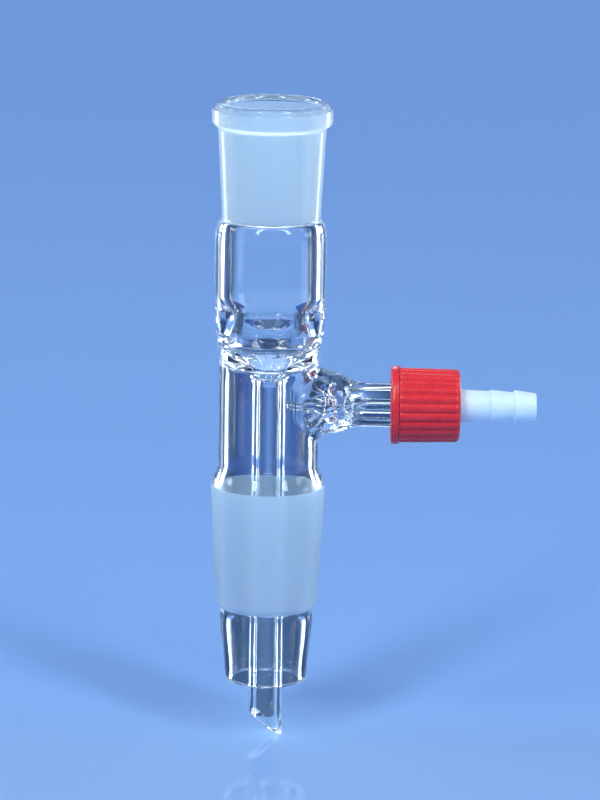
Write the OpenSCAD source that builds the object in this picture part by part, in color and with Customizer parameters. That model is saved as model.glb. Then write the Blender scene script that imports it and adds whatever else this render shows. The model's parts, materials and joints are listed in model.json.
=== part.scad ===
// Receiver adapter: a straight glass adapter with a ground socket above, a ground cone
// below, a drip tube through its middle and a side arm with a screw cap and a hose barb.
// The origin is the centre of the cone's large end. +Z runs up the adapter's axis and
// +X runs out along the side arm.

/* [Ground cone] */
// Diameter of the cone at its large end
cone_d = 29.2; // [28:0.1:36]
// Length of the cone
cone_len = 31.2; // [24:1:40]
// Taper of both ground joints, diameter over length
joint_taper = 0.1; // [0.08:0.01:0.12]
// Wall of the cone
cone_wall = 2.7; // [2:0.1:3]

/* [Ground socket] */
// Bore of the socket at its mouth
socket_d = 24; // [20:0.1:27]
// Length of the socket
socket_len = 29.9; // [24:1:36]
// Wall of the socket
socket_wall = 2.05; // [1.6:0.05:2.4]
// Outer diameter of the band round the mouth
rim_d = 30.6; // [29.5:0.1:34]
// Height of the band and the lip together
rim_h = 5.3; // [4:0.1:8]
// Radius of the rounded lip on top of the band
lip_r = 1.15; // [0.8:0.05:1.3]

/* [Glass body] */
// Height of the socket's small end above the cone's large end
body_h = 69; // [58:0.1:90]
// Outer diameter of the chamber below the socket
chamber_d = 28.4; // [28:0.1:32]
// Wall of the chamber
chamber_wall = 2.3; // [1.8:0.1:2.8]
// Outer diameter of the body below the ring seal
body_d = 25.8; // [24:0.1:27]
// Wall of the body below the ring seal
body_wall = 2.5; // [1.8:0.1:3]

/* [Ring seal and drip tube] */
// Height at which the ring seal's floor meets the wall
seal_z = 37.2; // [32:0.1:44]
// How far the wall swells into the chamber's bore above the floor
throat_in = 1.85; // [1:0.05:3]
// Slope of the floor towards the drip tube, degrees
seal_slope = 33; // [15:1:40]
// Outer diameter of the drip tube
drip_d = 8.8; // [7.2:0.1:10]
// Wall of the drip tube
drip_wall = 1.9; // [1.2:0.1:2.2]
// How far the drip tube's tip lies below the end of the extension
drip_out = 15.2; // [8:0.1:25]
// Angle of the bevel that cuts the drip tube, degrees
bevel_angle = 37.3; // [20:0.1:50]

/* [Extension below the cone] */
// Length of the clear extension
ext_len = 20.5; // [15:0.1:30]
// Outer diameter under the cone
ext_top_d = 23.9; // [22.5:0.1:25]
// Outer diameter at the open end
ext_end_d = 21.3; // [20.5:0.1:22]
// Wall of the extension at its open end
ext_wall = 2.1; // [1.5:0.1:2.4]

/* [Side arm] */
// Height of the arm's axis
arm_z = 21.3; // [17:0.1:23]
// Outer diameter of the arm
arm_d = 11.2; // [10:0.1:12]
// Wall of the arm
arm_wall = 1.7; // [1.2:0.1:2]
// Outer diameter of the bead where the arm is sealed to the body
bead_d = 14.4; // [13:0.1:16]
// Distance from the adapter's axis to the glass rim of the thread
arm_reach = 43.2; // [40:0.1:60]
// Outer diameter of the screw thread
thread_d = 14; // [13.2:0.1:16.8]
// Length of the screw thread
thread_len = 8; // [5:0.1:8.4]
// Outer diameter of the jet tube inside the arm
jet_d = 3.8; // [3:0.1:4.2]
// Bore of the jet tube
jet_bore = 1.6; // [1:0.1:2]
// How far the jet's axis lies below the arm's axis
jet_drop = 0.5; // [0:0.1:0.8]

/* [Screw cap] */
// Length of the cap
cap_len = 17.6; // [15:0.1:21]
// Wall of the cap between its ribs, next to the flange
cap_wall = 2.05; // [1.6:0.05:3]
// How much narrower the cap is at its far end, on the radius
cap_draft = 0.35; // [0:0.05:0.4]
// How far the flange stands out over the ribs
flange_out = 0.55; // [0.3:0.1:2]
// Thickness of the flange
flange_t = 2; // [1.2:0.1:3]
// Number of ribs
ribs = 24; // [16:1:26]
// Height of the ribs
rib_h = 0.45; // [0.3:0.05:0.6]
// Thickness of the cap's end wall
cap_end_t = 2.1; // [1.5:0.1:3]
// Radius of the rounded edge at the far end
cap_edge_r = 1.2; // [0.5:0.1:1.4]
// Clearance of the cap over the thread, on the radius
thread_gap = 0.15; // [0.1:0.05:0.3]

/* [Hose connector and sealing ring] */
// Bore of the connector
hose_bore = 5; // [4:0.1:5.4]
// Diameter of the connector's shank next to the cap
shank_d = 8.45; // [8:0.05:9]
// Diameter over the barbs
barb_d = 8.5; // [8.2:0.05:9.4]
// Diameter at the connector's tip
tip_d = 7; // [6.6:0.1:7.4]
// Length of the shank from the cap to the first barb
shank_len = 7.4; // [5:0.1:12]
// Length of each barb
barb_len = 6.05; // [4:0.05:8]
// Number of barbs
barbs = 2; // [1:1:4]
// Thickness of the connector's flange
foot_t = 1.6; // [1:0.1:2.5]
// Thickness of the sealing ring
ring_t = 1.8; // [1:0.1:3]
// Clearance of the connector in the cap's hole, on the radius
hole_gap = 0.5; // [0.2:0.05:0.8]
// Clearance of the sealing ring on the connector's spigot, on the radius
ring_gap = 0.1; // [0.05:0.05:0.2]

/* [Hidden] */
$fn = 96;
eps = 0.01;

// Ground joints, in radii and heights
lip_z = body_h + socket_len;
mouth_r = socket_d / 2 - lip_r * joint_taper / 2;
socket_end_r = socket_d / 2 - socket_len * joint_taper / 2;
cone_r = cone_d / 2;
cone_end_r = cone_r - cone_len * joint_taper / 2;
cone_chamfer = 1.3;
rim_r = rim_d / 2;
rim_ledge = 0.9;
rim_top_edge = 0.6;
rim_low_edge = 0.9;
rim_foot_r = socket_d / 2 + socket_wall - 0.35;
rim_foot_z = lip_z - rim_h - 1.1;
cone_bore_top_z = -1;
cone_bore_end_z = 2 - cone_len;

// Body, in radii and heights
chamber_r = chamber_d / 2;
chamber_bore_r = chamber_r - chamber_wall;
body_r = body_d / 2;
body_bore_r = body_r - body_wall;
throat_r = chamber_bore_r - throat_in;
shoulder_h = 5.4;
throat_z = seal_z + 3.6;
throat_h = 9;
neck_top_z = seal_z + 8.6;
neck_end_z = seal_z - 5;
flare_h = 5.6;
floor_r = throat_r + 0.9;
floor_corner = 0.9;

// Ring seal: the floor rolls down into the drip tube, and the ceiling below follows it
drip_r = drip_d / 2;
drip_bore_r = drip_r - drip_wall;
funnel_r = 3.6;
ceiling_r = 5;
ceiling_slope = 25;
ceiling_corner = 0.7;
seal_t = 4;

// Extension
ext_end_z = -cone_len - ext_len;
ext_top_r = ext_top_d / 2;
ext_end_r = ext_end_d / 2;
ext_lip_r = ext_wall / 2;
ext_bore_r = ext_end_r - ext_wall;
ext_bore_z = ext_end_z + 2;
ext_neck_r = ext_top_r - cone_wall;
ext_neck_z = -cone_len - 4;
ext_taper_top_z = -cone_len - 3;
ext_taper_end_z = ext_end_z + ext_lip_r + 0.5;
drip_tip_z = ext_end_z - drip_out;

// Side arm
arm_r = arm_d / 2;
arm_bore_r = arm_r - arm_wall;
bead_r = bead_d / 2;
bead_end = body_r + 6.2;
bead_flare = 1;
bead_flare_len = 2.4;
bead_neck = 3.6;
seal_end = body_r + 3.4;
seal_end_fillet = 1;
thread_r = thread_d / 2;
thread_end = arm_reach - 0.9;
thread_start = thread_end - thread_len;
rim_face_r = thread_r - 0.5;
thread_bore_r = arm_bore_r + 0.7;
thread_bore_start = thread_start - 3;
thread_bore_cone = 1;
jet_r = jet_d / 2;
jet_tip_r = 0.55;
jet_tip_bore_r = 0.3;
jet_gap = 0.4;
jet_start = drip_r + jet_gap;
jet_full = body_r - 1.4;
jet_end = arm_reach - 3.4;

// Cap, connector and ring, stacked along the arm
foot_x = arm_reach + ring_t;
cap_wall_x = foot_x + foot_t;
cap_end = cap_wall_x + cap_end_t;
cap_start = cap_end - cap_len;
cap_bore_r = thread_r + thread_gap;
cap_hole_r = shank_d / 2 + hole_gap;
cap_d = 2 * (cap_bore_r + cap_wall + rib_h);
cap_end_d = cap_d - 2 * cap_draft;
flange_r = cap_d / 2 + flange_out;
rib_step = 360 / ribs;
rib_r = cap_d * PI / ribs / 2 * 0.9;
rib_tilt = atan2((cap_d - cap_end_d) / 2, cap_len - flange_t);
foot_r = thread_r - 0.7;
spigot_r = thread_bore_r - 0.75;
spigot_len = 2.4;
spigot_edge = 0.3;
connector_end = cap_end + shank_len + barbs * barb_len;
shank_end_r = shank_d / 2 - 0.28;
barb_r = barb_d / 2;
barb_step = 0.7;
tip_r = tip_d / 2;
barb_root_r = tip_r + 0.19;
tip_edge = 0.25;
ring_corner = 0.3;

// Points of an arc about c, from angle a to angle b
function arc(c, r, a, b, n = 12) =
    [for (i = [0 : n]) let (t = a + (b - a) * i / n) c + r * [cos(t), sin(t)]];

// Points of a smooth S between two points, level with the axis at both ends
function blend(p, q, n = 12) =
    [for (i = [0 : n]) let (t = i / n)
        [p.x + (q.x - p.x) * (1 - cos(180 * t)) / 2, p.y + (q.y - p.y) * t]];

// Points of a quarter ellipse from p, where it leaves square to the axis, to q
function shoulder(p, q, n = 12) =
    [for (i = [0 : n]) let (t = 90 * i / n)
        [p.x + (q.x - p.x) * sin(t), q.y + (p.y - q.y) * cos(t)]];

// The same, from p, level with the axis, to q, where it ends square to it
function inward_shoulder(p, q, n = 8) =
    [for (i = [0 : n]) let (t = 90 * i / n)
        [q.x + (p.x - q.x) * cos(t), p.y + (q.y - p.y) * sin(t)]];

// All points of a list but the first
function rest(points) = [for (i = [1 : len(points) - 1]) points[i]];

// Points with their two numbers swapped
function swap(points) = [for (p = points) [p.y, p.x]];

// Radius of the cone's ground face at a height
function cone_at(z) = cone_r + z * joint_taper / 2;

// Height of the ring seal's sloping floor at a radius
function floor_at(r) =
    seal_z - floor_corner / cos(seal_slope) - (floor_r - floor_corner - r) * tan(seal_slope);

// Height of the ceiling under the ring seal at a radius
function ceiling_at(r) =
    floor_at(drip_r + ceiling_r) - seal_t + (r - drip_r - ceiling_r) * tan(ceiling_slope);

// Outside of the glass, from the mouth down to the end of the extension
function outer_line() = concat(
    arc([mouth_r + lip_r, lip_z - lip_r], lip_r, 176, 10),
    arc([rim_r - rim_top_edge, lip_z - lip_r - rim_ledge], rim_top_edge, 70, 0, 6),
    arc([rim_r - rim_low_edge, lip_z - rim_h + rim_low_edge / 2], rim_low_edge, 0, -60, 6),
    [[rim_foot_r, rim_foot_z]],
    shoulder([socket_end_r + socket_wall, body_h], [chamber_r, body_h - shoulder_h]),
    blend([chamber_r, neck_top_z], [body_r, neck_end_z]),
    blend([body_r, flare_h], [cone_r, 0]),
    [[cone_at(cone_chamfer / 2 - cone_len), cone_chamfer / 2 - cone_len]],
    [[ext_top_r, -cone_len - cone_chamfer]],
    blend([ext_top_r, ext_taper_top_z], [ext_end_r, ext_taper_end_z]),
    arc([ext_end_r - ext_lip_r, ext_end_z + ext_lip_r], ext_lip_r, 0, -180)
);

// Lower hollow, from the end of the extension up to the ceiling and down the drip tube
function lower_line() = concat(
    blend([ext_bore_r, ext_bore_z], [ext_neck_r, ext_neck_z], 8),
    rest(blend([ext_neck_r, ext_neck_z],
               [cone_at(cone_bore_end_z) - cone_wall, cone_bore_end_z], 8)),
    blend([cone_at(cone_bore_top_z) - cone_wall, cone_bore_top_z],
          [body_bore_r, flare_h], 8),
    arc([body_bore_r - ceiling_corner,
         ceiling_at(body_bore_r - ceiling_corner) - ceiling_corner / cos(ceiling_slope)],
        ceiling_corner, 0, 90 + ceiling_slope, 6),
    arc([drip_r + ceiling_r, ceiling_at(drip_r + ceiling_r) - ceiling_r / cos(ceiling_slope)],
        ceiling_r, 90 + ceiling_slope, 180),
    [[drip_r, drip_tip_z]]
);

// Upper hollow, from the drip tube's tip up the funnel, chamber and socket to the mouth
function upper_line() = concat(
    [[drip_bore_r, drip_tip_z]],
    arc([drip_bore_r + funnel_r, floor_at(drip_bore_r + funnel_r) - funnel_r / cos(seal_slope)],
        funnel_r, 180, 90 + seal_slope),
    arc([floor_r - floor_corner, seal_z], floor_corner, seal_slope - 90, 0, 6),
    rest(blend([floor_r, seal_z], [throat_r, throat_z], 8)),
    rest(blend([throat_r, throat_z], [chamber_bore_r, throat_z + throat_h])),
    inward_shoulder([chamber_bore_r, body_h - shoulder_h + 1], [socket_end_r, body_h])
);

// Turns a solid made about Z so that it lies along the side arm
module along_arm(drop = 0) {
    translate([0, 0, arm_z - drop]) rotate([0, 90, 0]) children();
}

// Solid of revolution along the arm from points [x, radius]
module arm_turned(points) {
    along_arm() rotate_extrude() polygon([for (p = points) [p.y, p.x]]);
}

// Glass about the adapter's own axis, as one turned section
module main_tube() {
    rotate_extrude() polygon(concat(outer_line(), lower_line(), upper_line()));
}

// Arm with the bead of its seal, trimmed inside the body's wall
module arm_tube() {
    difference() {
        arm_turned(concat(
            [[0, 0], [0, bead_r + bead_flare]],
            swap(blend([bead_r + bead_flare, body_r], [bead_r, body_r + bead_flare_len], 8)),
            swap(blend([bead_r, bead_end], [arm_r, bead_end + bead_neck], 8)),
            [[thread_start, arm_r], [thread_start, thread_r]],
            [[thread_end, thread_r], [arm_reach, rim_face_r]],
            [[arm_reach, thread_bore_r], [thread_bore_start, thread_bore_r]],
            [[thread_bore_start - thread_bore_cone, arm_bore_r]],
            [[seal_end + seal_end_fillet, arm_bore_r]],
            [[seal_end, arm_bore_r - seal_end_fillet], [seal_end, 0]]
        ));
        translate([0, 0, arm_z - 2 * bead_r])
            cylinder(h = 4 * bead_r, r = body_r - body_wall / 2);
    }
}

// Jet tube, drawn out to a narrow tip next to the drip tube
module jet_tube() {
    along_arm(jet_drop) rotate_extrude() polygon(concat(
        swap(arc([jet_start + jet_tip_r, 0], jet_tip_r, 180, 90, 6)),
        [[jet_r, jet_full], [jet_r, jet_end], [0, jet_end]]
    ));
}

// Bore of the jet tube, right through the seal
module jet_hole() {
    along_arm(jet_drop) {
        translate([0, 0, jet_start - jet_gap / 2]) cylinder(h = arm_reach, r = jet_tip_bore_r);
        translate([0, 0, jet_full]) cylinder(h = arm_reach, d = jet_bore);
    }
}

// Half-space below the slanted cut of the drip tube
module bevel() {
    translate([drip_r, 0, drip_tip_z]) rotate([0, bevel_angle, 0])
        translate([-2 * drip_d, -drip_d, -2 * drip_d]) cube([3 * drip_d, 2 * drip_d, 2 * drip_d]);
}

// One blown and fused piece of glass
module glass_body() {
    color([0.85, 0.93, 1, 0.4]) difference() {
        union() {
            main_tube();
            arm_tube();
            jet_tube();
        }
        jet_hole();
        bevel();
    }
}

// Ribbed cap with an open end
module screw_cap() {
    color([0.82, 0.1, 0.12]) difference() {
        union() {
            arm_turned([
                [cap_start, 0], [cap_start, flange_r], [cap_start + flange_t, flange_r],
                [cap_start + flange_t, cap_d / 2 - rib_h], [cap_end, cap_end_d / 2 - rib_h],
                [cap_end, 0]
            ]);
            for (i = [0 : ribs - 1]) along_arm() rotate([0, 0, (i + 0.5) * rib_step]) rib();
        }
        along_arm() translate([0, 0, cap_start - 1])
            cylinder(h = cap_wall_x - cap_start + 1, r = cap_bore_r);
        along_arm() translate([0, 0, cap_wall_x - 1])
            cylinder(h = cap_end_t + 2, r = cap_hole_r);
        arm_turned(concat(
            swap(arc([cap_end_d / 2 - cap_edge_r, cap_end - cap_edge_r], cap_edge_r, 0, 90)),
            [[cap_end + 1, cap_end_d / 2 - cap_edge_r], [cap_end + 1, flange_r],
             [cap_end - cap_edge_r, flange_r]]
        ));
    }
}

// One rib of the cap, leaning in along the cap's taper
module rib() {
    translate([cap_d / 2 - rib_r, 0, cap_start + flange_t - eps]) rotate([0, -rib_tilt, 0])
        cylinder(h = (cap_len - flange_t) / cos(rib_tilt), r = rib_r);
}

// Barbed connector, held by the flange at its foot
module hose_connector() {
    color([0.93, 0.96, 0.97]) arm_turned(concat(
        [[foot_x - spigot_len, hose_bore / 2], [foot_x - spigot_len, spigot_r - spigot_edge]],
        [[foot_x - spigot_len + spigot_edge, spigot_r], [foot_x, spigot_r], [foot_x, foot_r]],
        [[cap_wall_x, foot_r], [cap_wall_x, shank_d / 2]],
        [[cap_end, shank_d / 2]],
        [for (i = [0 : barbs - 1]) each barb(cap_end + shank_len + i * barb_len, i)],
        swap(arc([tip_r - tip_edge, connector_end - tip_edge], tip_edge, 0, 90, 6)),
        [[connector_end, hose_bore / 2]]
    ));
}

// Outline points of a barb that starts at x: a short steep rise and a crest
function barb(x, i) = [
    [x, i == 0 ? shank_end_r : barb_root_r],
    [x + barb_step, barb_r]
];

// Soft ring between the glass rim and the connector's flange
module sealing_ring() {
    color([0.85, 0.85, 0.82]) arm_turned(concat(
        [[arm_reach, spigot_r + ring_gap], [arm_reach, foot_r - ring_corner]],
        swap(arc([foot_r - ring_corner, arm_reach + ring_corner], ring_corner, -90, 0, 6)),
        swap(arc([foot_r - ring_corner, foot_x - ring_corner], ring_corner, 0, 90, 6)),
        [[foot_x, spigot_r + ring_gap]]
    ));
}

glass_body();
screw_cap();
hose_connector();
sealing_ring();
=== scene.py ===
"""Receiver adapter: the looks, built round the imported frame.

The blown glass is one closed mesh. Its wall is turned about the adapter's axis and has two
windows, one outside and one inside, and the side arm with its jet tube is sewn in between
them. The cap, the hose connector and the sealing ring are turned about the arm's axis.
Shapes are worked out in millimetres and scaled to metres when their mesh is made.
"""

import json
import math

import bmesh
import bpy
import numpy as np
from mathutils import Matrix, Vector, noise


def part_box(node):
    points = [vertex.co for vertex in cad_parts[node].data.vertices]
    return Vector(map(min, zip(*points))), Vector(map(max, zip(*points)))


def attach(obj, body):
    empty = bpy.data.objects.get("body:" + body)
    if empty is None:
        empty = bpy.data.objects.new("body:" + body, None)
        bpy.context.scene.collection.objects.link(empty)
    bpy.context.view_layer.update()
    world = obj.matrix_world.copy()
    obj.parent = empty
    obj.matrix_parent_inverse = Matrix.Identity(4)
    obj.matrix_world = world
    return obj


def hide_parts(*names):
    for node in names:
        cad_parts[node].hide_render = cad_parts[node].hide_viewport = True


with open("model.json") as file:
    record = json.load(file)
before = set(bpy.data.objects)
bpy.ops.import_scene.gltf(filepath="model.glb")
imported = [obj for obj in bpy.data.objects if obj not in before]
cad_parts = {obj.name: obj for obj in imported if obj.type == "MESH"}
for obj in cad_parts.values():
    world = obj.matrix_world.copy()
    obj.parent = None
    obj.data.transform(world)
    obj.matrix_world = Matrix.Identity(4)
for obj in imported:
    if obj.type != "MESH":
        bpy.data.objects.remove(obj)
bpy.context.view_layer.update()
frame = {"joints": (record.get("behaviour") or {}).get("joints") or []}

MM = 0.001


# ---------------------------------------------------------------- sizes from the frame

def node_box(name):
    """Lowest and highest corner of a CAD node, in millimetres."""
    low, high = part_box(name)
    return np.array(low) / MM, np.array(high) / MM


glass_low, glass_high = node_box("glass_body")
cap_low, cap_high = node_box("screw_cap")
hose_low, hose_high = node_box("hose_connector")
ring_low, ring_high = node_box("sealing_ring")
joints = {joint["name"]: joint for joint in frame["joints"]}

top_z = glass_high[2]
tip_z = glass_low[2]
rim_r = -glass_low[0]
arm_end = glass_high[0]
arm_z = joints["cap_turn"]["pos_m"][2] / MM
thread_start = arm_end - 8.9
thread_end = arm_end - 0.9

# ---------------------------------------------------------------- sizes of the glass

TAPER = 0.05            # of both ground joints, radius over length
CONE_R = 14.6           # at the large end, which lies at z = 0
CONE_LEN = 31.2
CONE_WALL = 2.7
SOCKET_R = 12           # bore at the mouth
SOCKET_LEN = 29.9
SOCKET_WALL = 2.05
LIP_R = 1.15            # rounding of the mouth
RIM_UPPER_R = 0.6       # roundings of the rim below it
RIM_LOWER_R = 0.9
RIM_LOW = 4.85          # of the rim's lower rounding, under the mouth
RIM_NECK = 7.0          # of the hollow under the rim
SHOULDER = 5.4          # over which the socket widens into the chamber
CHAMBER_R = 14.2
CHAMBER_BORE = 11.9
CHAMBER_FOOT = 48       # lowest row of the chamber's straight outside
BODY_R = 12.9
BODY_BORE = 10.4
FLARE_Z = 5.6           # where the body starts to widen into the cone
THROAT_BORE = 10.05
FLOOR_BORE = 10.95
SEAL_Z = 37.2           # where the ring seal's floor meets the wall
SEAL_FILLET = 0.9
FLOOR_SLOPE = 33        # of the ring seal, in degrees
FLOOR_ROLL = 3.6        # with which the floor rolls down into the drip tube
CEILING_SLOPE = 25
CEILING_ROLL = 5
SEAL_THICK = 4
THROAT_Z = SEAL_Z + 3.6
THROAT_RISE = 9         # from the throat to the chamber's full bore
NECK_TOP = SEAL_Z + 8.6  # where the outside starts to narrow
NECK_END = SEAL_Z - 5
DRIP_R = 4.4
DRIP_BORE = 2.5
BEVEL = math.tan(math.radians(37.3))
TIP_SPAN = 12           # height over the cut in which the rows level out
DRIP_FOOT = 16          # from the tip to the drip tube's first level row
EXT_TOP_R = 11.95
EXT_END_R = 10.65
EXT_WALL = 2.1
EXT_LEN = 20.5

ARM_R = 5.6
ARM_BORE = 3.9
THREAD_R = 7.0
THREAD_ROOT = 6.15
THREAD_PITCH = 2.5
THREAD_BORE = 4.6
JET_R = 1.9
JET_BORE = 0.8
JET_DROP = 0.45
JET_TIP_X = 4.55
WELD_FOOT_R = 8.9       # of the flare's foot on the inside of the wall

socket_end_z = top_z - SOCKET_LEN
socket_end_r = SOCKET_R - SOCKET_LEN * TAPER
ext_end_z = -CONE_LEN - EXT_LEN

SIDES = 144             # points round the adapter
ARM_SIDES = 168         # points round the arm
OUTER_HALF = 22         # half the outer window's width, in sides
INNER_HALF = 21
OUTER_ROWS = ARM_SIDES // 2 - 2 * OUTER_HALF
INNER_ROWS = ARM_SIDES // 2 - 2 * INNER_HALF
outer_window = (33.6, 9.2)       # heights of the outer window's first and last row
inner_window = (11.9, 30.7)


# ---------------------------------------------------------------- outlines

def arc(centre, radius, start, end, count=12):
    """Points of an arc, angles in degrees, as an array of (r, z)."""
    angles = np.radians(np.linspace(start, end, count + 1))
    return np.array(centre) + radius * np.stack([np.cos(angles), np.sin(angles)], 1)


def line(start, end, count):
    """Points of a straight line, both ends included."""
    share = np.linspace(0, 1, count + 1)[:, None]
    return np.array(start) * (1 - share) + np.array(end) * share


def blend(start, end, count=12):
    """Points of a smooth S in r between two points, level with the axis at both ends."""
    share = np.linspace(0, 1, count + 1)
    swing = (1 - np.cos(np.pi * share)) / 2
    return np.stack([start[0] + (end[0] - start[0]) * swing,
                     start[1] + (end[1] - start[1]) * share], 1)


def quarter(start, end, count=12, square_first=True):
    """Points of a quarter ellipse that is square to the axis at one end."""
    turn = np.linspace(0, np.pi / 2, count + 1)
    if square_first:
        return np.stack([start[0] + (end[0] - start[0]) * np.sin(turn),
                         end[1] + (start[1] - end[1]) * np.cos(turn)], 1)
    return np.stack([end[0] + (start[0] - end[0]) * np.cos(turn),
                     start[1] + (end[1] - start[1]) * np.sin(turn)], 1)


def rounded(corners, steps=5):
    """Points of a closed outline from (x, r, fillet) corners, each fillet an arc."""
    points = []
    count = len(corners)
    for i in range(count):
        before, here, after = (np.array(corners[(i + k) % count][:2], float) for k in (-1, 0, 1))
        radius = corners[i][2]
        if radius == 0:
            points.append(here)
            continue
        back = (before - here) / np.linalg.norm(before - here)
        ahead = (after - here) / np.linalg.norm(after - here)
        half = math.acos(np.clip(back @ ahead, -1, 1)) / 2
        reach = radius / math.tan(half)
        middle = (back + ahead) / np.linalg.norm(back + ahead)
        centre = here + middle * radius / math.sin(half)
        first = here + back * reach - centre
        last = here + ahead * reach - centre
        start = math.atan2(first[1], first[0])
        sweep = math.atan2(last[1], last[0]) - start
        sweep = (sweep + math.pi) % (2 * math.pi) - math.pi
        for step in range(steps + 1):
            angle = start + sweep * step / steps
            points.append(centre + radius * np.array([math.cos(angle), math.sin(angle)]))
    return np.array(points)


def cone_at(z):
    """Radius of the ground cone at a height."""
    return CONE_R + z * TAPER


def floor_at(r):
    """Height of the ring seal's floor, which slopes towards the drip tube."""
    slope = math.radians(FLOOR_SLOPE)
    corner_r = FLOOR_BORE - SEAL_FILLET
    return SEAL_Z - SEAL_FILLET / math.cos(slope) - (corner_r - r) * math.tan(slope)


def ceiling_at(r):
    """Height of the ceiling under the ring seal."""
    near = DRIP_R + CEILING_ROLL
    return floor_at(near) - SEAL_THICK + (r - near) * math.tan(math.radians(CEILING_SLOPE))


def neck_outline():
    """Outside of the glass where the chamber narrows into the body."""
    return blend((CHAMBER_R, NECK_TOP), (BODY_R, NECK_END), 40)


def outer_outline():
    """Outside of the glass from the mouth down to the end of the extension."""
    mouth = SOCKET_R - LIP_R * TAPER
    end = -CONE_LEN
    neck = neck_outline()
    rows = np.linspace(*outer_window, OUTER_ROWS + 1)
    in_window = np.stack([np.interp(-rows, -neck[:, 1], neck[:, 0]), rows], 1)
    return np.concatenate([
        arc((mouth + LIP_R, top_z - LIP_R), LIP_R, 172, 12, 14),
        arc((rim_r - RIM_UPPER_R, top_z - LIP_R - 0.9), RIM_UPPER_R, 72, 0, 7),
        arc((rim_r - RIM_LOWER_R, top_z - RIM_LOW), RIM_LOWER_R, 0, -58, 6),
        arc((SOCKET_R + SOCKET_WALL + 0.5, top_z - RIM_NECK), 0.85, 122, 183, 5),
        line((SOCKET_R + SOCKET_WALL - 0.38, top_z - 7.4),
             (socket_end_r + SOCKET_WALL, socket_end_z + 1.2), 5),
        quarter((socket_end_r + SOCKET_WALL, socket_end_z),
                (CHAMBER_R, socket_end_z - SHOULDER), 16),
        line((CHAMBER_R, socket_end_z - 9), (CHAMBER_R, CHAMBER_FOOT), 4),
        neck[neck[:, 1] > outer_window[0] + 0.3][::2],
        in_window,
        line((BODY_R, 8), (BODY_R, 6.4), 2),
        blend((BODY_R, FLARE_Z), (CONE_R - 0.02, 0), 16),
        line((cone_at(-0.5), -0.5), (cone_at(end + 0.8), end + 0.8), 6),
        line((cone_at(end + 0.5) - 0.12, end + 0.4), (EXT_TOP_R + 0.14, end - 1.15), 4),
        line((EXT_TOP_R + 0.02, end - 1.45), (EXT_TOP_R, end - 2.4), 2),
        blend((EXT_TOP_R, end - 3), (EXT_END_R, ext_end_z + EXT_WALL / 2 + 0.5), 18),
        arc((EXT_END_R - EXT_WALL / 2, ext_end_z + EXT_WALL / 2), EXT_WALL / 2, 0, -180, 16),
    ])


def lower_outline():
    """Lower hollow, from the extension up to the ceiling and down the drip tube."""
    rows = np.linspace(*inner_window, INNER_ROWS + 1)
    corner = 0.7
    roll = CEILING_ROLL
    slope = math.radians(CEILING_SLOPE)
    neck = EXT_TOP_R - CONE_WALL
    end = -CONE_LEN
    return np.concatenate([
        blend((EXT_END_R - EXT_WALL, ext_end_z + 2), (neck, end - 4), 14),
        blend((neck, end - 3.5), (cone_at(end + 2) - CONE_WALL, end + 2), 12),
        line((cone_at(end + 4) - CONE_WALL, end + 4), (cone_at(-3) - CONE_WALL, -3), 4),
        blend((cone_at(-1) - CONE_WALL, -1), (BODY_BORE, FLARE_Z), 16),
        line((BODY_BORE, 7), (BODY_BORE, inner_window[0] - 0.6), 3),
        np.stack([np.full(len(rows), BODY_BORE), rows], 1),
        arc((BODY_BORE - corner, ceiling_at(BODY_BORE - corner) - corner / math.cos(slope)),
            corner, 0, 90 + CEILING_SLOPE, 8),
        arc((DRIP_R + roll, ceiling_at(DRIP_R + roll) - roll / math.cos(slope)),
            roll, 90 + CEILING_SLOPE, 180, 20),
        line((DRIP_R, 25), (DRIP_R, tip_z + DRIP_FOOT), 8),
    ])


def tip_outline():
    """End of the drip tube as (r, height over the slanted cut), from outside to inside."""
    edge = 0.22
    return np.concatenate([
        line((DRIP_R, TIP_SPAN), (DRIP_R, 3), 3),
        line((DRIP_R, 1.2), (DRIP_R, 0.5), 1),
        arc((DRIP_R - edge, edge), edge, 0, -90, 5),
        line((DRIP_R - 0.6, 0), (DRIP_BORE + 0.6, 0), 2),
        arc((DRIP_BORE + edge, edge), edge, -90, -180, 5),
        line((DRIP_BORE, 0.5), (DRIP_BORE, 1.2), 1),
        line((DRIP_BORE, 3), (DRIP_BORE, TIP_SPAN), 3),
    ])


def upper_outline():
    """Upper hollow, from the drip tube up the funnel, chamber and socket to the mouth."""
    slope = math.radians(FLOOR_SLOPE)
    return np.concatenate([
        line((DRIP_BORE, tip_z + DRIP_FOOT), (DRIP_BORE, 26), 8),
        arc((DRIP_BORE + FLOOR_ROLL,
             floor_at(DRIP_BORE + FLOOR_ROLL) - FLOOR_ROLL / math.cos(slope)),
            FLOOR_ROLL, 180, 90 + FLOOR_SLOPE, 14),
        line((5.6, floor_at(5.6)), (9.4, floor_at(9.4)), 7),
        arc((FLOOR_BORE - SEAL_FILLET, SEAL_Z), SEAL_FILLET, FLOOR_SLOPE - 90, 0, 8),
        blend((FLOOR_BORE, SEAL_Z), (THROAT_BORE, THROAT_Z), 10)[1:],
        blend((THROAT_BORE, THROAT_Z), (CHAMBER_BORE, THROAT_Z + THROAT_RISE), 22)[1:],
        line((CHAMBER_BORE, 51.5), (CHAMBER_BORE, socket_end_z - SHOULDER), 5),
        quarter((CHAMBER_BORE, socket_end_z - 4.4), (socket_end_r, socket_end_z), 12, False),
        line((socket_end_r + 0.01, socket_end_z + 0.25),
             (SOCKET_R - 1.6 * TAPER, top_z - 1.6), 7),
    ])


# ---------------------------------------------------------------- the arm, as rings

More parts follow.
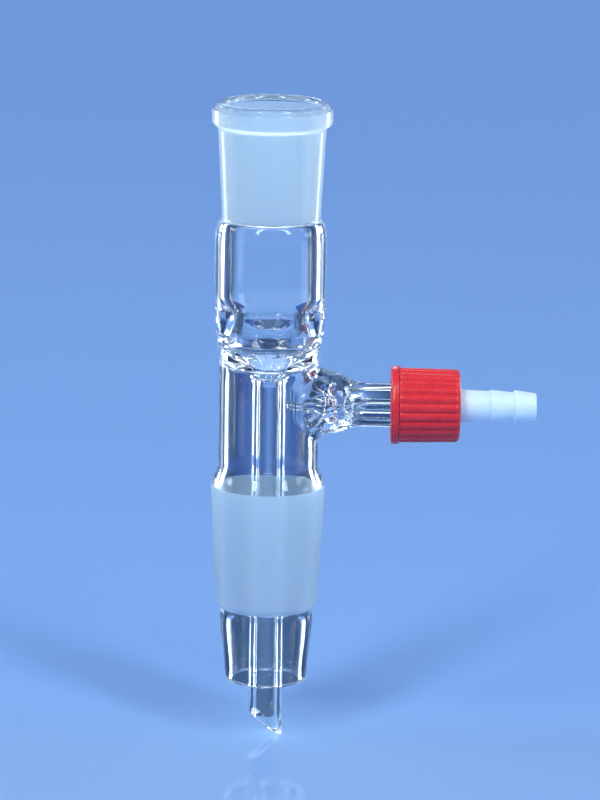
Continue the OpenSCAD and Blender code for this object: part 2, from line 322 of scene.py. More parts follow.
def spline(knots, first, last, count):
    """Smooth curve through knots, an array (knot, side, 2), with count rings a knot."""
    chord = np.linalg.norm(np.diff(knots, axis=0), axis=2)[..., None]
    rings = []
    for i in range(len(knots) - 1):
        ends = []
        for k in (i, i + 1):
            if k == 0:
                ends.append(first)
            elif k == len(knots) - 1:
                ends.append(last)
            else:
                ends.append((knots[k + 1] - knots[k - 1]) / (chord[k - 1] + chord[k]))
        share = np.linspace(0, 1, count + 1)[:-1]
        for t in share:
            rings.append((1 + 2 * t) * (1 - t) ** 2 * knots[i]
                         + t * (1 - t) ** 2 * ends[0] * chord[i]
                         + t ** 2 * (3 - 2 * t) * knots[i + 1]
                         + t ** 2 * (t - 1) * ends[1] * chord[i])
    rings.append(knots[-1])
    return np.array(rings)


def by_side(turn, top, side, bottom):
    """Values that change smoothly round the arm, turn being the angle from its top."""
    up, down = np.maximum(np.cos(turn), 0) ** 2, np.maximum(-np.cos(turn), 0) ** 2
    level = np.sin(turn) ** 2
    if np.ndim(top):
        up, level, down = up[:, None], level[:, None], down[:, None]
    return up * np.array(top) + level * np.array(side) + down * np.array(bottom)


def outer_radius(z):
    """Outside radius of the body at a height in the outer window."""
    neck = neck_outline()
    return np.interp(-np.asarray(z), -neck[:, 1], neck[:, 0])


def weld_rings(turn):
    """Outside of the weld, from its foot on the body to the arm's straight sleeve.

    Its knots are (x, rho) at the top, the sides and the bottom of the arm.
    """
    foot_rho = by_side(turn, 10.3, 9.9, 9.9)
    foot_r = outer_radius(arm_z + foot_rho * np.cos(turn))
    foot_x = np.sqrt(foot_r ** 2 - (foot_rho * np.sin(turn)) ** 2)
    knots = np.array([
        np.stack([foot_x, foot_rho], 1),
        by_side(turn, (14.15, 9.1), (10.7, 8.9), (13.35, 8.7)),
        by_side(turn, (16.2, 8.2), (13.6, 7.9), (14.6, 7.55)),
        by_side(turn, (18.7, 7.7), (16.6, 7.4), (16.4, 7.2)),
        by_side(turn, (20.1, 6.9), (19.3, 6.8), (19.0, 6.75)),
        by_side(turn, (22.0, 6.1), (21.7, 6.0), (21.3, 5.85)),
        by_side(turn, (25.0, ARM_R), (25.0, ARM_R), (25.0, ARM_R)),
    ])
    lean = foot_rho * np.sin(turn) ** 2 / foot_x
    first = np.stack([lean, -np.ones_like(lean)], 1) / np.sqrt(1 + lean ** 2)[:, None]
    return spline(knots, first, np.array([1.0, 0.0]), 6)


def thread_rings(turn):
    """Round screw thread, right-handed, which runs out at both ends."""
    rings = []
    for x in np.linspace(thread_start, thread_end, 45):
        share = (x - thread_start) / THREAD_PITCH + turn / (2 * np.pi)
        swing = (1 - np.cos(2 * np.pi * share)) / 2
        ridge = swing ** 2 * (3 - 2 * swing)
        rise = np.clip((x - thread_start) / 1.2, 0, 1)
        run_out = np.clip((thread_end - x) / 1.0, 0, 1)
        root = ARM_R + (THREAD_ROOT - ARM_R) * rise
        height = (THREAD_R - THREAD_ROOT) * rise * run_out * ridge
        rings.append(np.stack([np.full_like(turn, x), root + height], 1))
    return rings


def even(points, turn):
    """Rings that are the same all the way round, from (x, rho) points."""
    return [np.tile(point, (len(turn), 1)) for point in points]


def rim_rings(turn):
    """Fire-polished rim, and the bore behind it down to the seal."""
    face = arc((arm_end - 0.35, 6.15), 0.35, 90, 0, 5)
    lip = arc((arm_end - 0.35, THREAD_BORE + 0.35), 0.35, 0, -90, 5)
    bore = [(40, THREAD_BORE), (34.6, THREAD_BORE), (33.9, THREAD_BORE - 0.05),
            (33.4, 4.25), (32.9, ARM_BORE + 0.05), (32.2, ARM_BORE), (25, ARM_BORE)]
    return even([*face, *lip, *bore], turn)


def seal_rings(turn):
    """Closed end of the arm's bore, which runs out along the top of the jet tube."""
    knots = np.array([
        by_side(turn, (20.6, ARM_BORE), (21.2, ARM_BORE), (21.6, ARM_BORE)),
        by_side(turn, (19.2, 3.68), (19.2, 3.6), (19.7, 3.55)),
        by_side(turn, (19.5, 3.3), (18.7, 2.9), (19.2, 2.85)),
        by_side(turn, (21.2, 2.95), (19.4, 2.4), (19.3, 2.4)),
        by_side(turn, (24.2, 2.35), (20.8, 2.1), (19.9, 2.05)),
        by_side(turn, (27.5, JET_R), (25.0, JET_R), (23.0, JET_R)),
    ])
    return spline(knots, np.array([-1.0, 0.0]), np.array([1.0, 0.0]), 5)


def jet_rings(turn):
    """Jet tube: its outside and open end in the arm, its bore, and its drawn-out tip."""
    end = arm_end - 3.4
    tip = JET_TIP_X
    points = [(32, JET_R), (36, JET_R), (end - 0.8, JET_R),
              *arc((end - 0.3, JET_R - 0.3), 0.3, 90, 0, 4),
              *arc((end - 0.2, JET_BORE + 0.2), 0.2, 0, -90, 4),
              (end - 1.2, JET_BORE), (30, JET_BORE), (20, JET_BORE), (13, JET_BORE),
              (11, 0.74), (9, 0.6), (7.4, 0.42), (6.2, 0.32), (tip + 0.4, 0.3),
              *arc((tip + 0.14, 0.44), 0.14, -90, -180, 3),
              (tip + 0.02, 0.54), (tip + 0.12, 0.76), (tip + 0.35, 0.97), (tip + 0.75, 1.14),
              (tip + 1.5, 1.26), (tip + 2.5, 1.4), (tip + 3.5, 1.55), (tip + 4.4, 1.72),
              (tip + 5.2, 1.88), (tip + 6.4, 2.0), (tip + 8.2, 2.05)]
    return even(points, turn)


def pocket_rings(turn):
    """Inside of the body's flare into the arm, from the jet's root to its foot on the wall."""
    foot_rho = np.full_like(turn, WELD_FOOT_R)
    foot_x = np.sqrt(BODY_BORE ** 2 - (foot_rho * np.sin(turn)) ** 2)
    knots = np.array([
        by_side(turn, (14.6, 2.05), (14.6, 2.05), (14.6, 2.05)),
        by_side(turn, (16.0, 2.4), (16.0, 2.4), (15.6, 2.4)),
        by_side(turn, (16.6, 3.2), (16.4, 3.2), (16.0, 3.1)),
        by_side(turn, (16.0, 4.3), (15.4, 4.3), (15.2, 4.2)),
        by_side(turn, (14.2, 5.4), (13.0, 5.5), (13.4, 5.3)),
        by_side(turn, (12.2, 6.5), (10.6, 6.6), (11.8, 6.4)),
        by_side(turn, (10.9, 7.7), (8.2, 7.8), (10.8, 7.6)),
        np.stack([foot_x, foot_rho], 1),
    ])
    lean = foot_rho * np.sin(turn) ** 2 / foot_x
    last = np.stack([-lean, np.ones_like(lean)], 1) / np.sqrt(1 + lean ** 2)[:, None]
    return spline(knots, np.array([1.0, 0.0]), last, 4)


def arm_rings():
    """Every ring from the weld's foot outside to the pocket's foot inside, as points."""
    turn = 2 * np.pi * np.arange(ARM_SIDES) / ARM_SIDES
    outside = [*weld_rings(turn), *even([(28, ARM_R), (31, ARM_R), (33.4, ARM_R)], turn),
               *thread_rings(turn), *rim_rings(turn)]
    seal = list(seal_rings(turn))
    jet = jet_rings(turn)
    pocket = pocket_rings(turn)
    drop = np.concatenate([
        np.zeros(len(outside)), JET_DROP * np.linspace(0, 1, len(seal)) ** 0.7,
        np.full(len(jet), JET_DROP),
        JET_DROP * (1 + np.cos(np.pi * np.linspace(0, 1, len(pocket)))) / 2])
    rings = []
    for ring, lowered in zip([*outside, *seal, *jet, *pocket], drop):
        x, rho = ring[:, 0], ring[:, 1]
        rings.append(np.stack([x, rho * np.sin(turn),
                               arm_z - lowered + rho * np.cos(turn)], 1))
    return rings


# ---------------------------------------------------------------- sewing the glass

def window_border(first_row, half, rows, climbs):
    """Main-grid indices round a window, from its top middle towards +Y and back to it.

    climbs is set where the main grid's rows run upwards.
    """
    last = first_row + rows
    steps = [(first_row, k) for k in range(half)]
    steps += [(row, half) for row in range(first_row, last)]
    steps += [(last, k) for k in range(half, -half, -1)]
    steps += [(row, -half) for row in range(last, first_row, -1)]
    steps += [(first_row, k) for k in range(-half, 0)]
    if climbs:
        steps = [(first_row + last - row, k) for row, k in steps]
    return [row * SIDES + k % SIDES for row, k in steps]


def patch_rings(border, foot, shares, radius_at):
    """Rings on the turned wall between a window's border and the ring at its foot."""
    def unrolled(points):
        """Angle round the axis and height of each point."""
        return np.stack([np.arctan2(points[:, 1], points[:, 0]), points[:, 2]], 1)

    start, end = unrolled(border), unrolled(foot)
    rings = []
    for share in shares:
        flat = start * (1 - share) + end * share
        radius = radius_at(flat[:, 1])
        rings.append(np.stack([radius * np.cos(flat[:, 0]), radius * np.sin(flat[:, 0]),
                               flat[:, 1]], 1))
    return rings


def glass_surface():
    """Vertices, faces and ground-face flags of the whole glass, in millimetres."""
    outer, lower, tip, upper = (outer_outline(), lower_outline(), tip_outline(),
                                upper_outline())
    tip_part = slice(len(outer) + len(lower), len(outer) + len(lower) + len(tip))
    outline = np.concatenate([outer, lower, tip, upper])
    angle = 2 * np.pi * np.arange(SIDES) / SIDES
    radius = outline[:, 0][:, None] + np.zeros(SIDES)
    height = outline[:, 1][:, None] + np.zeros(SIDES)
    above = height[tip_part]
    slant = (1 - above / TIP_SPAN) * (DRIP_R - radius[tip_part] * np.cos(angle)) * BEVEL
    height[tip_part] = tip_z + above + slant
    grid = np.stack([radius * np.cos(angle), radius * np.sin(angle), height], 2)
    main = grid.reshape(-1, 3)

    outer_first = int(np.argmin(abs(outer[:, 1] - outer_window[0])))
    inner_first = len(outer) + int(np.argmin(abs(lower[:, 1] - inner_window[0])
                                             + abs(lower[:, 0] - BODY_BORE)))
    windows = [(outer_first, OUTER_HALF, OUTER_ROWS), (inner_first, INNER_HALF, INNER_ROWS)]
    is_ground = np.zeros(len(outline), bool)
    is_ground[:len(outer)] = (outer[:, 1] < 0.4) & (outer[:, 1] > -CONE_LEN - 0.8)
    is_ground[-len(upper):] = upper[:, 1] > socket_end_z + 0.2

    faces, ground = [], []
    rows = len(outline)
    for i in range(rows):
        after = (i + 1) % rows
        for k in range(SIDES):
            signed = k if k < SIDES // 2 else k - SIDES
            if any(first <= i < first + count and -half <= signed < half
                   for first, half, count in windows):
                continue
            side = (k + 1) % SIDES
            faces.append((i * SIDES + k, i * SIDES + side,
                          after * SIDES + side, after * SIDES + k))
            ground.append(is_ground[i] and is_ground[after])

    arm = arm_rings()
    outer_border = window_border(outer_first, OUTER_HALF, OUTER_ROWS, False)
    inner_border = window_border(inner_first, INNER_HALF, INNER_ROWS, True)
    outer_patch = patch_rings(main[outer_border], arm[0], (0.25, 0.5, 0.75), outer_radius)
    inner_patch = patch_rings(main[inner_border], arm[-1], (0.66, 0.33),
                              lambda z: np.full_like(z, BODY_BORE))
    strip = [*outer_patch, *arm, *inner_patch]
    offset = len(main)
    loops = [outer_border]
    loops += [list(range(offset + i * ARM_SIDES, offset + (i + 1) * ARM_SIDES))
              for i in range(len(strip))]
    loops.append(inner_border)
    for here, after in zip(loops, loops[1:]):
        for j in range(ARM_SIDES):
            side = (j + 1) % ARM_SIDES
            faces.append((here[j], here[side], after[side], after[j]))
            ground.append(False)
    points = np.concatenate([main, *strip])
    used, faces = np.unique(np.array(faces), return_inverse=True)
    return points[used], faces.reshape(-1, 4), np.array(ground)


# ---------------------------------------------------------------- meshes

def vertex_normals(points, faces):
    """Normal of each vertex, its faces weighted by their areas."""
    first, second, third, fourth = (points[faces[:, i]] for i in range(4))
    across = np.cross(third - first, fourth - second)
    normals = np.zeros_like(points)
    for i in range(4):
        np.add.at(normals, faces[:, i], across)
    return normals / np.linalg.norm(normals, axis=1)[:, None]


def facing_out(points, faces):
    """The same faces, all turned so that they face out of their closed surface."""
    mesh = bmesh.new()
    for point in points:
        mesh.verts.new(point)
    mesh.verts.ensure_lookup_table()
    for face in faces:
        mesh.faces.new([mesh.verts[i] for i in face])
    bmesh.ops.recalc_face_normals(mesh, faces=mesh.faces)
    turned = np.array([[vert.index for vert in face.verts] for face in mesh.faces])
    mesh.free()
    return turned


def make_piece(name, points, faces, materials, material_of_face=None):
    """A smooth mesh object from points in millimetres and quads that face out."""
    mesh = bpy.data.meshes.new(name)
    mesh.from_pydata((points * MM).tolist(), [], faces.tolist())
    for material in materials:
        mesh.materials.append(material)
    if material_of_face is not None:
        mesh.polygons.foreach_set("material_index", material_of_face.astype(np.int32))
    mesh.polygons.foreach_set("use_smooth", np.ones(len(faces), bool))
    mesh.normals_split_custom_set_from_vertices(vertex_normals(points, faces).tolist())
    mesh.update()
    piece = bpy.data.objects.new(name, mesh)
    bpy.context.scene.collection.objects.link(piece)
    return piece


def turned_piece(name, outline, sides, materials, radius_change=None):
    """A piece turned about the arm's axis from a closed outline of (x, radius) points."""
    turn = 2 * np.pi * np.arange(sides) / sides
    x = outline[:, 0][:, None] + np.zeros(sides)
    radius = outline[:, 1][:, None] + np.zeros(sides)
    if radius_change is not None:
        radius = radius + radius_change(x, radius, turn)
    grid = np.stack([x, radius * np.sin(turn), arm_z + radius * np.cos(turn)], 2)
    count = len(outline)
    index = np.arange(count * sides).reshape(count, sides)
    after, beside = np.roll(index, -1, 0), np.roll(index, -1, 1)
    faces = np.stack([index, beside, np.roll(after, -1, 1), after], 2).reshape(-1, 4)
    points = grid.reshape(-1, 3)
    return make_piece(name, points, facing_out(points, faces), materials)


# ---------------------------------------------------------------- hand-made unevenness

def glass_unevenness(point):
    """How far the glass stands out at a point, in millimetres: welds are never quite even."""
    x, y, z = point
    rho = math.hypot(y, z - arm_z)
    spot = Vector(point)
    out = 0.012 * noise.noise(spot * 0.12)
    near_seal = math.exp(-((z - 36) / 5.5) ** 2) * min(1, math.hypot(x, y) / 8)
    if near_seal > 0.01:
        out += near_seal * (0.13 * noise.noise(spot * 0.33)
                            + 0.07 * noise.noise(spot * 0.8 + Vector((7, 0, 0))))
    near_weld = math.exp(-((x - 16.5) / 4.4) ** 4) * math.exp(-(rho / 10) ** 6)
    if near_weld > 0.01 and rho > 2:
        along = Vector((y / rho * 2.6, (z - arm_z) / rho * 2.6, rho * 0.12 + x * 0.1))
        near_weld *= min(1, (rho - 2) / 1.5)
        out += near_weld * (0.62 * noise.noise(along)
                            + 0.6 * noise.noise(spot * 0.36 + Vector((0, 5, 0)))
                            + 0.14 * noise.noise(spot * 0.95 + Vector((3, 5, 0))))
    return out


def make_glass(materials):
    """The glass body: blown and a little uneven, but true on its ground joints."""
    points, faces, ground = glass_surface()
    faces = facing_out(points, faces)
    normals = vertex_normals(points, faces)
    is_true = np.zeros(len(points), bool)
    is_true[np.unique(faces[ground])] = True
    shift = np.array([0 if true else glass_unevenness(point)
                      for point, true in zip(points, is_true)])
    points = points + normals * shift[:, None]
    return make_piece("glass", points, faces, materials, ground)


# ---------------------------------------------------------------- cap, connector and ring

RIBS = 24
RIB_H = 0.55
RIBS_FROM = 2.1         # from the cap's foot
FLANGE_LEN = 2.05
CAP_BORE = 7.15
CAP_MOUTH = 1.2         # length of the bore's wider mouth
CAP_WALL = 2.1          # of the closed end round the hole
CAP_HOLE = 4.725
CREST_R = 9.65          # over the ribs, next to the flange
CAP_DRAFT = 0.35        # by which the crests narrow towards the closed end
HOSE_BORE = 2.5
SPIGOT_R = 3.85
SHANK_R = 4.225
BARB_R = 4.25
BARB_LEN = 6.05
RING_BORE = 3.97
RING_BULGE = 0.12
RING_GAP = 0.02         # between the ring and the connector's foot, which turns on it
cap_start, cap_end = cap_low[0], cap_high[0]
flange_r = (cap_high[1] - cap_low[1]) / 2
cap_wall_x = cap_end - CAP_WALL


def cap_outline():
    """Closed outline of the cap, from its hole out over the ribs and back through the bore."""
    flange_end = cap_start + FLANGE_LEN
    return rounded([
        (cap_end, CAP_HOLE, 0.3), (cap_end, CREST_R - CAP_DRAFT, 1.25),
        *[(x, CREST_R - CAP_DRAFT * (x - cap_start) / (cap_end - cap_start), 0)
          for x in np.linspace(cap_end - 3, flange_end + 0.9, 5)],
        (flange_end, CREST_R, 0.22), (flange_end, flange_r - 0.2, 0.3),
        (cap_start + 1.2, flange_r, 3), (cap_start, flange_r - 0.36, 0.45),
        (cap_start, CAP_BORE + 0.25, 0.2), (cap_start + CAP_MOUTH, CAP_BORE, 0),
        *[(cap_start + CAP_MOUTH + i * (cap_wall_x - cap_start - 2) / 40, CAP_BORE, 0)
          for i in range(1, 41)],
        (cap_wall_x, CAP_BORE, 0.3), (cap_wall_x, CAP_HOLE, 0.2)])


def cap_shape(x, radius, turn):
    """Ribs outside, which fade into the flange and the rounded edge, and the thread inside."""
    lobe = np.abs(np.sin(turn * RIBS / 2)) ** 0.7
    full = (np.clip((cap_end - x) / 1.6, 0, 1) ** 0.6
            * np.clip((x - cap_start - RIBS_FROM) / 0.3, 0, 1))
    outside = (radius > 8.3) & (x > cap_start + RIBS_FROM)
    grooves = np.where(outside, -RIB_H * (1 - lobe) * full, 0)
    share = (x - thread_start) / THREAD_PITCH + turn / (2 * np.pi) + 0.5
    swing = (1 - np.cos(2 * np.pi * share)) / 2
    span = np.clip((x - cap_start - 3.4) / 1.5, 0, 1) * np.clip((arm_end - 1.2 - x) / 1.5, 0, 1)
    inside = (np.abs(radius - CAP_BORE) < 0.01) & (x > cap_start + 1.5) & (x < cap_wall_x - 0.4)
    return grooves + np.where(inside, -0.5 * swing ** 2 * span, 0)


def hose_outline():
    """Closed outline of the hose connector, with its spigot, foot, shank and two barbs."""
    foot_x, foot_r = ring_high[0], (hose_high[1] - hose_low[1]) / 2
    end = hose_high[0]
    first, second = end - 2 * BARB_LEN, end - BARB_LEN
    return rounded([
        (hose_low[0], HOSE_BORE, 0.15), (hose_low[0], SPIGOT_R, 0.25),
        (foot_x, SPIGOT_R, 0.15), (foot_x, foot_r, 0.25),
        (cap_wall_x, foot_r, 0.25), (cap_wall_x, SHANK_R, 0.1),
        (cap_end, SHANK_R, 0), (first - 2, 4.0, 0), (first, 3.95, 0.25),
        (first + 0.62, BARB_R, 0.3), (first + 3, 4.03, 0), (second, 3.68, 0.25),
        (second + 0.62, BARB_R, 0.3), (second + 3, 3.9, 0), (end, 3.5, 0.28),
        (end, HOSE_BORE, 0.2), (end - 8, HOSE_BORE, 0), (cap_end, HOSE_BORE, 0)])


def ring_outline():
    """Closed outline of the sealing ring, which bulges a little where it is squeezed."""
    low, high = ring_low[0], ring_high[0] - RING_GAP
    outer = (ring_high[1] - ring_low[1]) / 2
    middle = (low + high) / 2
    return rounded([
        (low, RING_BORE, 0.2), (low, outer - RING_BULGE, 0.3), (middle, outer, 0.6),
        (high, outer - RING_BULGE, 0.3), (high, RING_BORE, 0.2)])


# ---------------------------------------------------------------- materials

GLASS_IOR = 1.474       # of borosilicate glass


def new_material(name):
    """A new material, with its node tree and its shader."""
    material = bpy.data.materials.new(name)
    material.use_nodes = True
    tree = material.node_tree
    return material, tree, tree.nodes["Principled BSDF"]


def add_noise(tree, scale, detail, roughness=0.5):
    """A noise texture in the object's own metres, so that its scale is waves a metre."""
    coordinates = tree.nodes.new("ShaderNodeTexCoord")
    texture = tree.nodes.new("ShaderNodeTexNoise")
    texture.inputs["Scale"].default_value = scale
    texture.inputs["Detail"].default_value = detail
    texture.inputs["Roughness"].default_value = roughness
    tree.links.new(coordinates.outputs["Object"], texture.inputs["Vector"])
    return texture


def add_bump(tree, shader, height, strength, distance, before=None):
    """Bumps a shader's surface by a texture, over another bump where one is given."""
    bump = tree.nodes.new("ShaderNodeBump")
    bump.inputs["Strength"].default_value = strength
    bump.inputs["Distance"].default_value = distance
    tree.links.new(height.outputs[0], bump.inputs["Height"])
    if before is not None:
        tree.links.new(before.outputs[0], bump.inputs["Normal"])
    tree.links.new(bump.outputs[0], shader.inputs["Normal"])
    return bump


def add_range(tree, source, low, high, socket):
    """Feeds a texture's 0 to 1 into a socket, mapped to low to high."""
    spread = tree.nodes.new("ShaderNodeMapRange")
    spread.inputs["To Min"].default_value = low
    spread.inputs["To Max"].default_value = high
    tree.links.new(source.outputs[0], spread.inputs["Value"])
    tree.links.new(spread.outputs[0], socket)


def add_ramp(tree, source, colours, socket):
    """Feeds a texture through a colour ramp of two (place, colour) stops into a socket."""
    ramp = tree.nodes.new("ShaderNodeValToRGB")
    for stop, (place, colour) in zip(ramp.color_ramp.elements, colours):
        stop.position = place
        stop.color = (*colour, 1)
    tree.links.new(source.outputs[0], ramp.inputs[0])
    tree.links.new(ramp.outputs[0], socket)


def let_light_through(tree, shader):
    """Lets most of the light past the glass into its shadow, as real clear glass does."""
    path = tree.nodes.new("ShaderNodeLightPath")
    clear = tree.nodes.new("ShaderNodeBsdfTransparent")
    clear.inputs["Color"].default_value = (0.82, 0.85, 0.86, 1)
    either = tree.nodes.new("ShaderNodeMixShader")
    tree.links.new(path.outputs["Is Shadow Ray"], either.inputs[0])
    tree.links.new(shader.outputs[0], either.inputs[1])
    tree.links.new(clear.outputs[0], either.inputs[2])
    tree.links.new(either.outputs[0], tree.nodes["Material Output"].inputs["Surface"])


def clear_glass():
    """Borosilicate glass, with the faint drawing lines of blown tubing."""
    material, tree, shader = new_material("clear_glass")
    shader.inputs["Base Color"].default_value = (0.985, 0.995, 0.993, 1)
    shader.inputs["Transmission Weight"].default_value = 1
    shader.inputs["IOR"].default_value = GLASS_IOR
    smears = add_noise(tree, 160, 3)
    add_range(tree, smears, 0.0, 0.02, shader.inputs["Roughness"])
    waves = add_noise(tree, 90, 2)
    add_bump(tree, shader, waves, 0.06, 0.0004)
    let_light_through(tree, shader)
    return material


def ground_glass():
    """The same glass, ground matt, as on the joints."""
    material, tree, shader = new_material("ground_glass")
    shader.inputs["Base Color"].default_value = (0.69, 0.86, 0.98, 1)
    shader.inputs["Transmission Weight"].default_value = 0.6
    shader.inputs["IOR"].default_value = GLASS_IOR
    patches = add_noise(tree, 350, 4)
    add_range(tree, patches, 0.52, 0.66, shader.inputs["Roughness"])
    grain = add_noise(tree, 9000, 2, 0.7)
    add_bump(tree, shader, grain, 0.35, 0.00006)
    return material


def red_plastic():
    """Moulded polyester of the cap: satin, and a little mottled."""
    material, tree, shader = new_material("red_plastic")
    mottle = add_noise(tree, 420, 4)
    add_ramp(tree, mottle, [(0.3, (0.72, 0.022, 0.030)), (0.7, (0.81, 0.033, 0.042))],
             shader.inputs["Base Color"])
    add_range(tree, add_noise(tree, 1500, 5), 0.16, 0.36, shader.inputs["Roughness"])
    shader.inputs["Specular IOR Level"].default_value = 0.4
    shader.inputs["Subsurface Weight"].default_value = 0.08
    shader.inputs["Subsurface Radius"].default_value = (0.9, 0.15, 0.1)
    shader.inputs["Subsurface Scale"].default_value = 0.001
    broad = add_bump(tree, shader, add_noise(tree, 380, 3), 0.12, 0.0003)
    add_bump(tree, shader, add_noise(tree, 4200, 3), 0.18, 0.00008, broad)
    return material


def white_plastic():
    """Natural polypropylene of the connector: milky, with light soaking into it."""
    material, tree, shader = new_material("white_plastic")
    mottle = add_noise(tree, 300, 3)
    add_ramp(tree, mottle, [(0.3, (0.68, 0.82, 0.88)), (0.7, (0.75, 0.87, 0.92))],
             shader.inputs["Base Color"])
    add_range(tree, add_noise(tree, 700, 4), 0.36, 0.5, shader.inputs["Roughness"])
    shader.inputs["Subsurface Weight"].default_value = 0.45
    shader.inputs["Subsurface Radius"].default_value = (1.0, 1.0, 1.0)
    shader.inputs["Subsurface Scale"].default_value = 0.0012
    shader.inputs["IOR"].default_value = 1.49
    broad = add_bump(tree, shader, add_noise(tree, 260, 2), 0.15, 0.0003)
    add_bump(tree, shader, add_noise(tree, 3600, 3), 0.15, 0.00008, broad)
    return material


def silicone():
    """Translucent silicone of the sealing ring."""
    material, tree, shader = new_material("silicone")
    mottle = add_noise(tree, 500, 3)
    add_ramp(tree, mottle, [(0.3, (0.66, 0.66, 0.62)), (0.7, (0.76, 0.76, 0.72))],
             shader.inputs["Base Color"])
    add_range(tree, add_noise(tree, 1200, 4), 0.42, 0.6, shader.inputs["Roughness"])
    shader.inputs["Subsurface Weight"].default_value = 0.5
    shader.inputs["Subsurface Scale"].default_value = 0.001
    add_bump(tree, shader, add_noise(tree, 3000, 3), 0.2, 0.0001)
    return material


# ---------------------------------------------------------------- the pieces

glass = make_glass([clear_glass(), ground_glass()])
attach(glass, "glass")
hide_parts("glass_body")

cap = turned_piece("cap", cap_outline(), RIBS * 12, [red_plastic()], cap_shape)
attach(cap, "cap")
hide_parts("screw_cap")

hose_piece = turned_piece("connector", hose_outline(), 96, [white_plastic()])
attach(hose_piece, "connector")
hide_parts("hose_connector")

seal = turned_piece("seal_ring", ring_outline(), 96, [silicone()])
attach(seal, "seal")
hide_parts("sealing_ring")


# ---------------------------------------------------------------- stage, lamps and camera

FLOOR_COLOUR = (0.27, 0.45, 0.80)
LAMP_COLOUR = (0.9, 0.98, 1.0)
SKY_COLOUR = (0.45, 0.65, 1.0)
SKY_STRENGTH = 0.35
# Colours of the dark cards that only the clear glass shows: painted shade in its refractions.
PAINTED_SHADE_BLACK = (0.006, 0.02, 0.05)
PAINTED_SHADE_NAVY = (0.003, 0.034, 0.19)
LIGHT_BOUNCES = 64      # total reflections in the thick seal use up many
CAMERA_PLACE = (0.00792, -0.96992, 0.24437)
CAMERA_LENS = 175.4
ELEVATION = math.radians(12.9)      # of the camera over the object
ROLL = math.radians(0.85)           # of the camera, as in the photograph


def floor_material():
    """Smooth, polished table top."""
    material, _, shader = new_material("floor")
    shader.inputs["Base Color"].default_value = (*FLOOR_COLOUR, 1)
    shader.inputs["Roughness"].default_value = 0.06
    return material


def make_floor():
    """A wide pale floor under the tip, which curves up into a backdrop all round."""
    flat, rise, sides = 2.6, 1.2, 64
    outline = [(0.3, 0), (1, 0), (flat, 0)]
    outline += [(flat + rise * math.sin(turn), rise * (1 - math.cos(turn)))
                for turn in np.linspace(0.1, math.pi / 2, 14)]
    mesh = bmesh.new()
    rings = [[mesh.verts.new((radius * math.cos(turn), radius * math.sin(turn),
                              height + tip_z * MM))
              for turn in np.linspace(0, 2 * math.pi, sides, endpoint=False)]
             for radius, height in outline]
    mesh.faces.new(rings[0])
    for here, after in zip(rings, rings[1:]):
        for i in range(sides):
            beside = (i + 1) % sides
            mesh.faces.new((here[i], after[i], after[beside], here[beside]))
    for face in mesh.faces:
        face.smooth = True
    data = bpy.data.meshes.new("floor")
    mesh.to_mesh(data)
    mesh.free()
    floor = bpy.data.objects.new("floor", data)
    bpy.context.scene.collection.objects.link(floor)
    data.materials.append(floor_material())


def softbox(name, azimuth, low, high, width, radiance, distance=3.0):
    """A soft lamp round the object, from one height over the floor to another.

    Azimuth 0 is straight behind the object and 90 is to its right. Sizes are in metres.
    """
    lamp = bpy.data.lights.new(name, "AREA")
    lamp.shape = "RECTANGLE"
    lamp.color = LAMP_COLOUR
    lamp.size, lamp.size_y = width, high - low
    lamp.energy = radiance * math.pi * width * (high - low)
    box = bpy.data.objects.new(name, lamp)
    turn = math.radians(azimuth)
    place = Vector((math.sin(turn) * distance, math.cos(turn) * distance,
                    tip_z * MM + (low + high) / 2))
    box.location = place
    box.rotation_euler = place.to_track_quat("Z", "Y").to_euler()
    box.visible_camera = False
    bpy.context.scene.collection.objects.link(box)


def card_material(name, colour):
    """Matt dark card, whose fade is added to its alpha: painted shade that only the glass shows.
    """
    material, tree, shader = new_material(name)
    shader.inputs["Base Color"].default_value = (*colour, 1)
    shader.inputs["Roughness"].default_value = 0.9
    shader.inputs["Specular IOR Level"].default_value = 0
    return material, tree, shader


def add_fade(tree, shader, value, clear, full, strength=1):
    """Feeds a value's socket into a card's alpha, smoothly from clear to full."""
    fade = tree.nodes.new("ShaderNodeMapRange")
    fade.interpolation_type = "SMOOTHSTEP"
    fade.inputs["From Min"].default_value = clear
    fade.inputs["From Max"].default_value = full
    fade.inputs["To Max"].default_value = strength
    tree.links.new(value, fade.inputs["Value"])
    tree.links.new(fade.outputs[0], shader.inputs["Alpha"])


def add_card(name, corners, material, place=(0, 0, 0), scale=(1, 1, 1)):
    """A card that only the object's clear glass shows, which paints dark lines along its edges:
    painted shade.
    """
    data = bpy.data.meshes.new(name)
    data.from_pydata(corners, [], [(0, 1, 2, 3)])
    data.materials.append(material)
    card = bpy.data.objects.new(name, data)
    card.location = place
    card.scale = scale
    bpy.context.scene.collection.objects.link(card)
    card.visible_camera = False
    card.visible_diffuse = False
    card.visible_glossy = False
    card.visible_shadow = False


def flag(name, corners, clear, full, colour=PAINTED_SHADE_BLACK):
    """A dark card of painted shade, seen only through the glass, that is clear at one distance
    from the middle and full at another.

    The corners are in metres, with their heights over the floor.
    """
    material, tree, shader = card_material(name, colour)
    coordinates = tree.nodes.new("ShaderNodeTexCoord")
    split = tree.nodes.new("ShaderNodeSeparateXYZ")
    tree.links.new(coordinates.outputs["Object"], split.inputs[0])
    off_axis = tree.nodes.new("ShaderNodeMath")
    off_axis.operation = "ABSOLUTE"
    tree.links.new(split.outputs["X"], off_axis.inputs[0])
    add_fade(tree, shader, off_axis.outputs[0], clear, full)
    add_card(name, [(x, y, tip_z * MM + height) for x, y, height in corners], material)


def standing_flag(name, left, right, low, high, distance, clear, full, colour=PAINTED_SHADE_BLACK):
    """A dark card of painted shade that stands upright behind the object."""
    flag(name, [(left, distance, low), (right, distance, low),
                (right, distance, high), (left, distance, high)], clear, full, colour)


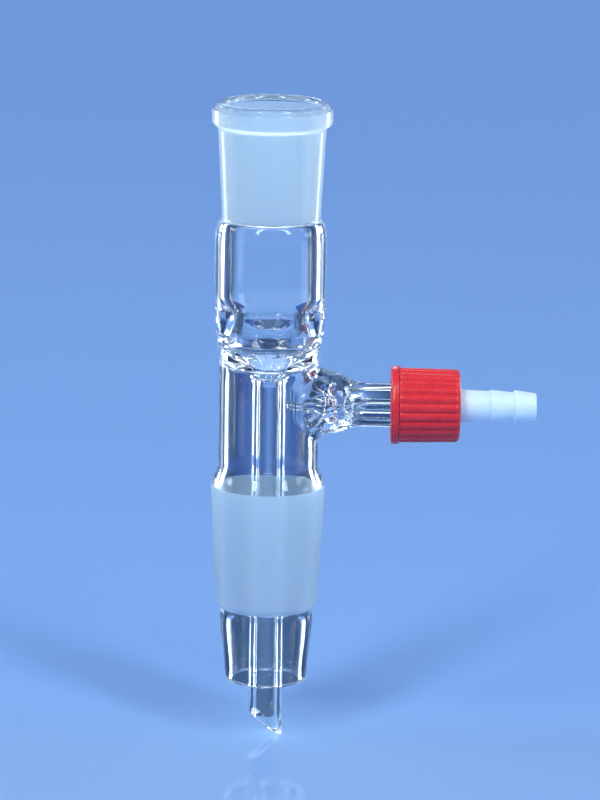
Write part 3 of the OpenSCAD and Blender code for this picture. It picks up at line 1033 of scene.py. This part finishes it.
def soft_flag(name, half_width, half_height, middle, distance, strength):
    """A round dark card with a soft edge, which paints the dark spot that the ring seal shows:
    painted shade.
    """
    material, tree, shader = card_material(name, PAINTED_SHADE_BLACK)
    coordinates = tree.nodes.new("ShaderNodeTexCoord")
    cloud = tree.nodes.new("ShaderNodeTexGradient")
    cloud.gradient_type = "SPHERICAL"
    tree.links.new(coordinates.outputs["Object"], cloud.inputs["Vector"])
    add_fade(tree, shader, cloud.outputs["Fac"], 0, 0.7, strength)
    add_card(name, [(-1, 0, -1), (1, 0, -1), (1, 0, 1), (-1, 0, 1)], material,
             (0, distance, tip_z * MM + middle), (half_width, 1, half_height))


make_floor()

# Azimuth, lowest and highest point, width and radiance of each lamp. The two low ones at the
# back draw the bright lines along the glass walls.
softbox("back_left", -47.5, 0.0, 0.87, 0.68, 11)
softbox("back_right", 47.5, 0.0, 0.87, 0.68, 11)
softbox("side_left", -85, 1.1, 1.65, 1.0, 8)
softbox("back_high", -5, 1.15, 1.7, 1.0, 4.5)
softbox("side_right", 95, 0.4, 1.0, 1.0, 4)
softbox("front_left", -150, 1.0, 3.4, 0.45, 13.3, 2.05)
softbox("front_right", 140, 1.0, 3.4, 0.45, 13.3, 2.05)

# Left, right, lowest and highest edge and distance of each card, and where it is clear and
# full. A fade that starts below 0 is already part-way full in the middle of its card.
# The cards below are seen only through the clear glass, where they paint its dark lines, spots
# and navy tone: painted shade.
standing_flag("flag_left", -0.086, -0.020, 0.042, 0.122, 0.10, 0.020, 0.038)
standing_flag("flag_right", 0.020, 0.086, 0.042, 0.122, 0.10, 0.020, 0.038)
standing_flag("flag_foot_left", -0.041, -0.014, 0.003, 0.027, 0.04, 0.014, 0.021)
standing_flag("flag_foot_right", 0.014, 0.041, 0.003, 0.027, 0.04, 0.014, 0.021)
soft_flag("flag_seal", 0.022, 0.018, 0.129, 0.10, 0.9)
standing_flag("flag_body", -0.086, 0.086, 0.030, 0.074, 0.101, -0.0226, 0.0297,
              colour=PAINTED_SHADE_NAVY)
flag("flag_floor", [(-0.012, 0.012, 0.001), (0.012, 0.012, 0.001),
                    (0.12, 0.19, 0.001), (-0.12, 0.19, 0.001)], -0.1, 0.05)

world = bpy.data.worlds.new("studio")
bpy.context.scene.world = world
world.use_nodes = True
background = world.node_tree.nodes["Background"]
background.inputs["Color"].default_value = (*SKY_COLOUR, 1)
background.inputs["Strength"].default_value = SKY_STRENGTH

camera_data = bpy.data.cameras.new("camera")
camera_data.sensor_width = 36
camera_data.lens = CAMERA_LENS
camera = bpy.data.objects.new("camera", camera_data)
bpy.context.scene.collection.objects.link(camera)
forward = Vector((0, math.cos(ELEVATION), -math.sin(ELEVATION)))
level = Vector((1, 0, 0))
upright = level.cross(forward)
right = level * math.cos(ROLL) + upright * math.sin(ROLL)
up = upright * math.cos(ROLL) - level * math.sin(ROLL)
turned = Matrix((right, up, -forward)).transposed().to_4x4()
camera.matrix_world = Matrix.Translation(CAMERA_PLACE) @ turned
bpy.context.scene.camera = camera

scene = bpy.context.scene
scene.view_settings.view_transform = "Standard"
scene.cycles.max_bounces = LIGHT_BOUNCES
scene.cycles.transmission_bounces = LIGHT_BOUNCES
scene.cycles.glossy_bounces = LIGHT_BOUNCES
scene.cycles.caustics_reflective = False
